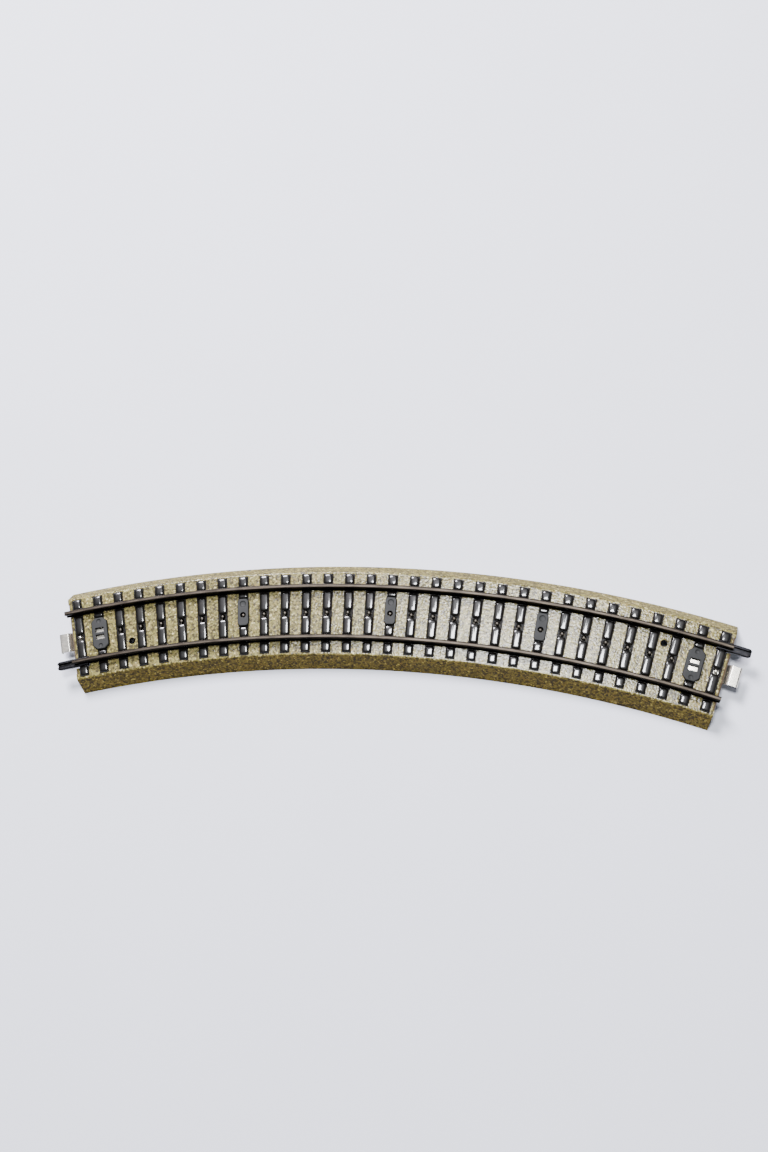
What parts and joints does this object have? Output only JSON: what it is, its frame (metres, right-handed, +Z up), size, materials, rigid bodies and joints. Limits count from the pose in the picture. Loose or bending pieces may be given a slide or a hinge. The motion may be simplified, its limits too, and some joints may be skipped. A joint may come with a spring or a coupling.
{
  "type": "curved model railway track section",
  "caption": "Curved tinplate model railway track section: pressed ballast bed with embossed sleepers, folded steel rails, a centre stud contact and sprung end contacts.",
  "frame": {"origin": "middle of the underside of the whole section's box, on the surface it lies on", "axes": "+X along the chord towards the right end, +Y towards the outside of the curve, +Z up"},
  "size_m": [0.2408, 0.0514, 0.01],
  "materials": {
    "printed_tinplate": "satin printed ballast, sleepers in gloss black",
    "browned_rail_steel": "browned, worn bright on the running surface",
    "blackened_joiner_steel": "blackened satin",
    "tinned_strip_steel": "dull tinned",
    "nickel_silver": "bright rolled",
    "black_insulator_plastic": "matte moulded",
    "rivet_brass": "plain"
  },
  "bodies": {
    "section": {"track_bed": "printed_tinplate", "inner_rail": "browned_rail_steel", "outer_rail": "browned_rail_steel", "contact_strip": "tinned_strip_steel", "mid_insulator_1": "black_insulator_plastic", "mid_insulator_2": "black_insulator_plastic", "mid_insulator_3": "black_insulator_plastic", "left_rail_joiner": "blackened_joiner_steel", "left_end_insulator": "black_insulator_plastic", "left_contact_plate": "nickel_silver", "left_strip_rivet": "rivet_brass", "left_spring_rivet": "rivet_brass", "right_rail_joiner": "blackened_joiner_steel", "right_end_insulator": "black_insulator_plastic", "right_contact_plate": "nickel_silver", "right_strip_rivet": "rivet_brass", "right_spring_rivet": "rivet_brass"},
    "left_contact": {"left_contact_spring": "nickel_silver"},
    "right_contact": {"right_contact_spring": "nickel_silver"}
  },
  "joints": [
    {"name": "left_contact_flex", "type": "hinge", "parent": "section", "child": "left_contact", "pos_m": [-0.10791, -0.00649, 0.00445], "axis": [-0.2588, 0.9659, 0], "range_deg": [-6, 3.5], "stiffness_Nm_per_rad": 0.02},
    {"name": "right_contact_flex", "type": "hinge", "parent": "section", "child": "right_contact", "pos_m": [0.10534, -0.00552, 0.00445], "axis": [-0.2588, -0.9659, 0], "range_deg": [-6, 3.5], "stiffness_Nm_per_rad": 0.02}
  ]
}
